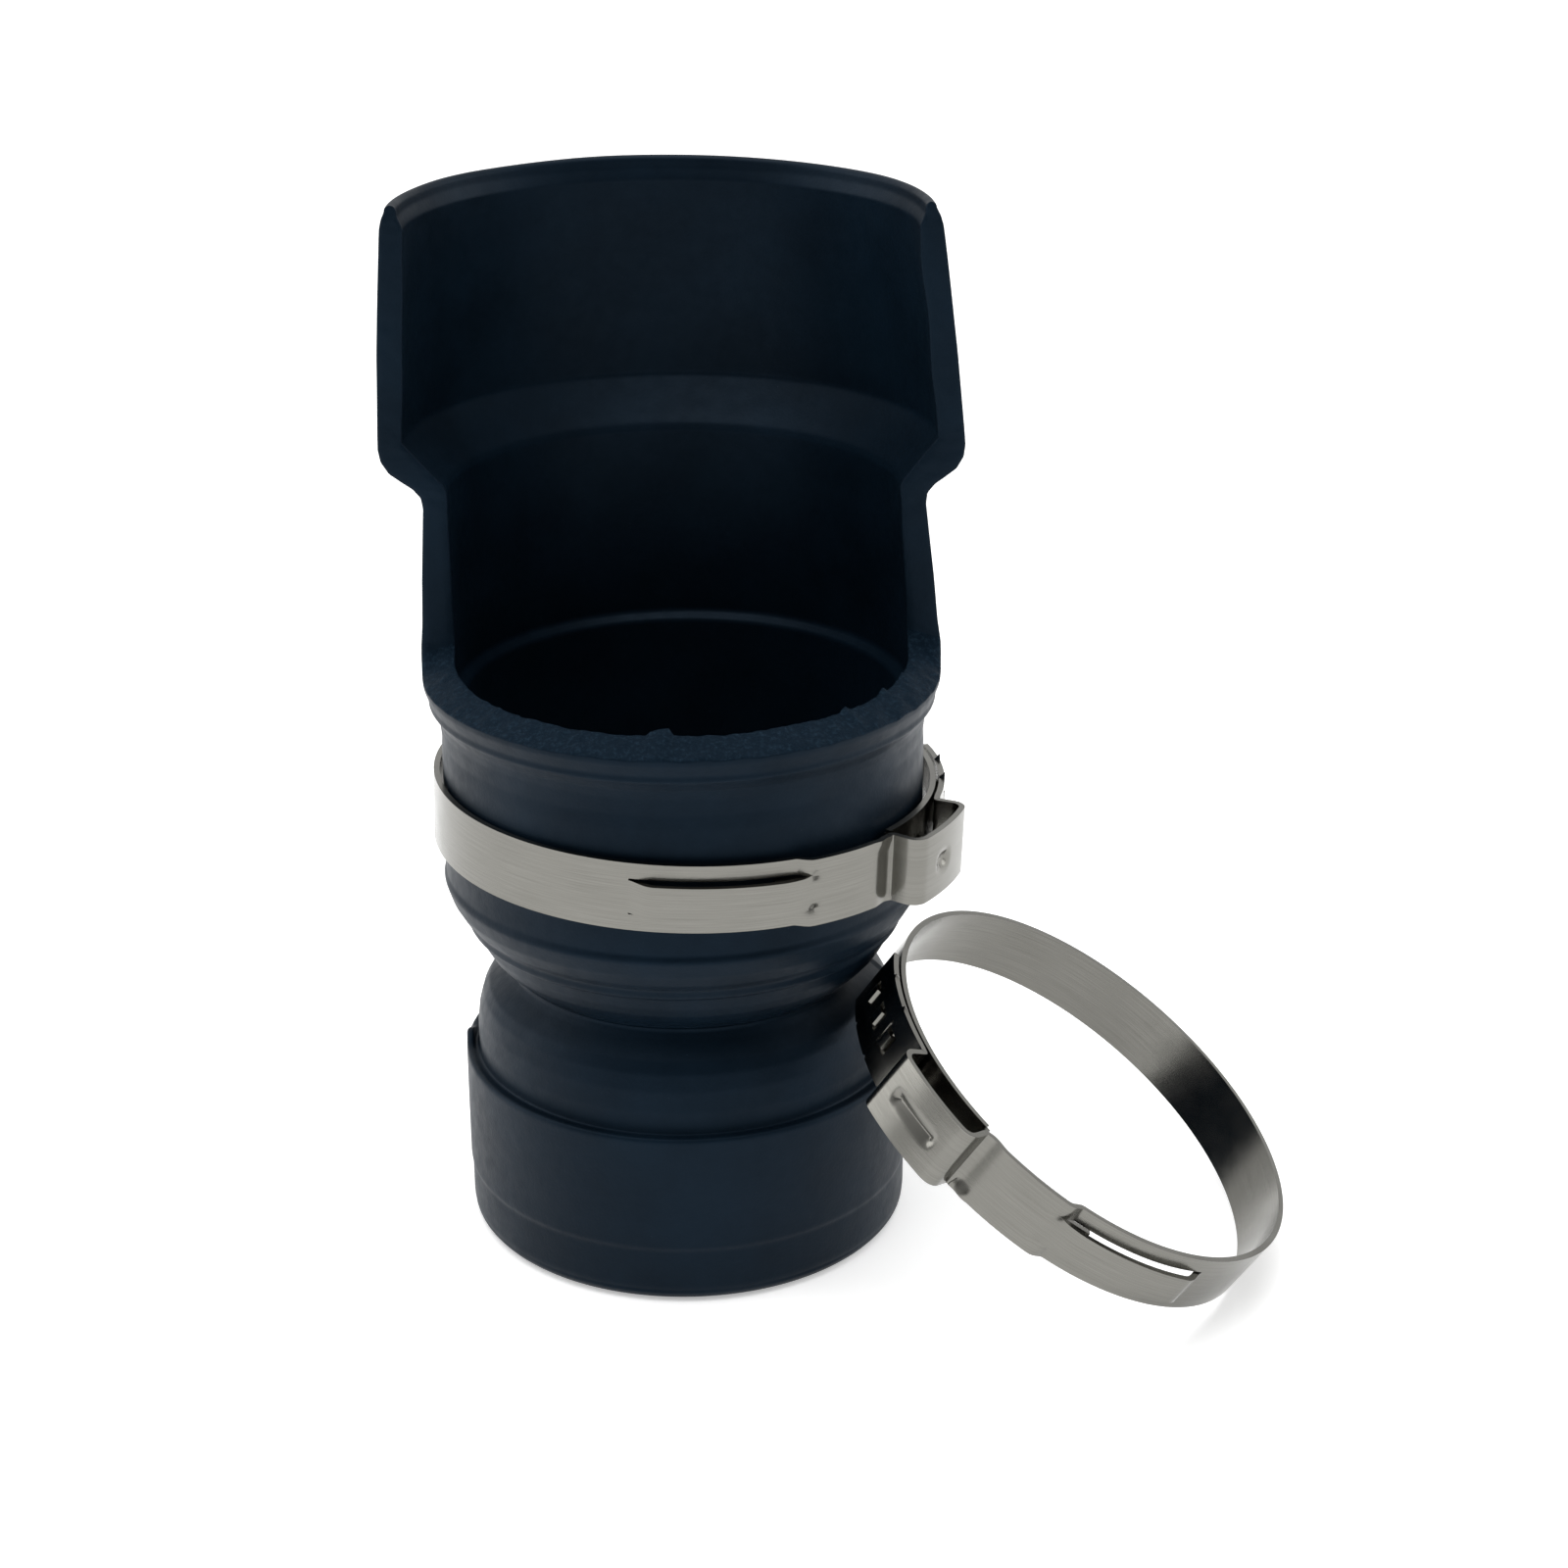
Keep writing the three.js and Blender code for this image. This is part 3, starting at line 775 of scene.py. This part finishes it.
def floor_material():
    """White opal sheet of a light table: matt, lit a little from below, only faintly uneven."""
    material, tree = new_material("white opal sheet")
    place = add_node(tree, "ShaderNodeTexCoord").outputs["Object"]
    fibre = noise_node(tree, place, 40.0, 2.0)
    finish_surface(
        tree,
        Base_Color=mix(tree, fibre, linear("#f7f7f7"), linear("#fafafa")),
        Roughness=0.9,
        Normal=bumps(tree, (fibre, 0.02, 0.0005)),
        Emission_Color=(1.0, 1.0, 1.0, 1.0),
        Emission_Strength=0.38,
    )
    return material


floor_mesh = bpy.data.meshes.new("floor")
floor_mesh.from_pydata([(-6, -6, 0), (6, -6, 0), (6, 6, 0), (-6, 6, 0)], [], [(0, 1, 2, 3)])
floor_mesh.materials.append(floor_material())
floor = bpy.data.objects.new("floor", floor_mesh)
floor.location = (0.0, 0.0, -0.00005)
bpy.context.scene.collection.objects.link(floor)

room = bpy.data.worlds.new("room")
room.use_nodes = True
room.node_tree.nodes.clear()
heading = add_node(room.node_tree, "ShaderNodeTexCoord").outputs["Generated"]
split = add_node(room.node_tree, "ShaderNodeSeparateXYZ", {"Vector": heading})
level = stretch(room.node_tree, split.outputs["Y"], -0.8, 0.0, 0.18, 0.85)
sky = add_node(room.node_tree, "ShaderNodeBackground", {"Color": (1.0, 1.0, 1.0, 1.0), "Strength": level})
add_node(room.node_tree, "ShaderNodeOutputWorld", {"Surface": sky.outputs["Background"]})
bpy.context.scene.world = room


def soft_light(name, location, target, size, watts):
    """A rectangular area light turned to face its target."""
    data = bpy.data.lights.new(name, "AREA")
    data.shape = "RECTANGLE"
    data.size, data.size_y = size
    data.energy = watts
    obj = bpy.data.objects.new(name, data)
    obj.location = location
    obj.rotation_euler = (Vector(target) - Vector(location)).to_track_quat("-Z", "Y").to_euler()
    bpy.context.scene.collection.objects.link(obj)
    return obj


soft_light("top light", (-0.12, -0.05, 0.9), (0.0, 0.0, 0.03), (0.8, 0.8), 5.0)
soft_light("left light", (-0.8, 0.05, 0.35), (0.0, 0.0, 0.05), (0.5, 0.6), 1.9)
soft_light("right light", (0.8, 0.10, 0.35), (0.0, 0.0, 0.05), (0.5, 0.6), 1.8)

camera_data = bpy.data.cameras.new("camera")
camera_data.sensor_width = 36.0
camera_data.lens = 67.5
camera_data.clip_start = 0.01
camera_data.clip_end = 20.0
camera = bpy.data.objects.new("camera", camera_data)
camera.location = (axis_x / 1000, (axis_y - 281.3) / 1000, 0.1630)
camera.rotation_euler = (math.radians(67.70), 0.0, math.radians(-2.11))
bpy.context.scene.collection.objects.link(camera)
bpy.context.scene.camera = camera
bpy.context.scene.view_settings.view_transform = "Standard"
